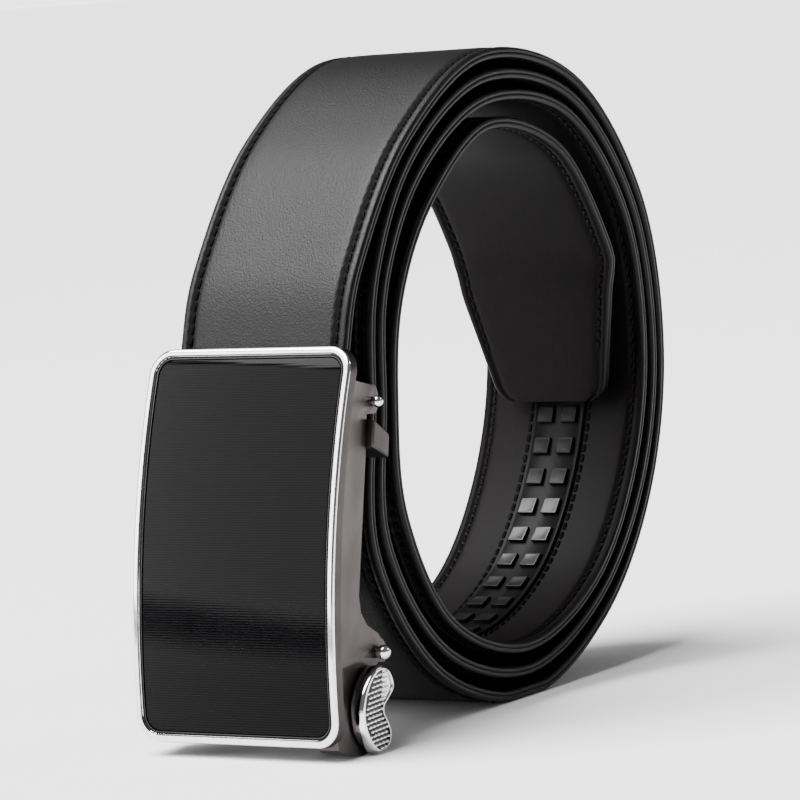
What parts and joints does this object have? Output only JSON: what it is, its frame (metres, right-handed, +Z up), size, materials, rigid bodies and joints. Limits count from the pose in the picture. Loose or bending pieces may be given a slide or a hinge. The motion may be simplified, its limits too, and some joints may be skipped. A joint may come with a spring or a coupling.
{
  "type": "ratchet belt",
  "caption": "Black leather ratchet belt rolled up on its edge, with a bowed plate buckle, clamped strap end, toothed inner track and sprung release lever.",
  "frame": {"origin": "centre of the part's box, on the floor under it", "axes": "+X across the strap towards the release lever's side, -Y the way the buckle's front faces, +Z up; the strap is wound about X"},
  "size_m": [0.046, 0.1162, 0.1134],
  "materials": {
    "leather": "black smooth-grained leather, semi-matt",
    "track": "black, glossy moulded",
    "satin_metal": "satin nickel plate on a zinc casting",
    "polished_metal": "polished chrome plate",
    "black_panel": "glossy black with fine cross lines"
  },
  "bodies": {
    "belt": {"strap": "leather", "ratchet_track": "track", "buckle_frame": "satin_metal", "inlay_panel": "black_panel", "clamp_jaw": "satin_metal", "clamp_pin": "polished_metal", "pawl_pin": "polished_metal"},
    "catch": {"ratchet_pawl": "satin_metal", "release_lever": "polished_metal"}
  },
  "joints": [
    {"name": "lever_hinge", "type": "hinge", "parent": "belt", "child": "catch", "pos_m": [0, -0.04488, 0.01646], "axis": [1, 0, 0], "range_deg": [0, 20], "stiffness_Nm_per_rad": 0.02, "springref_deg": -17.19}
  ]
}
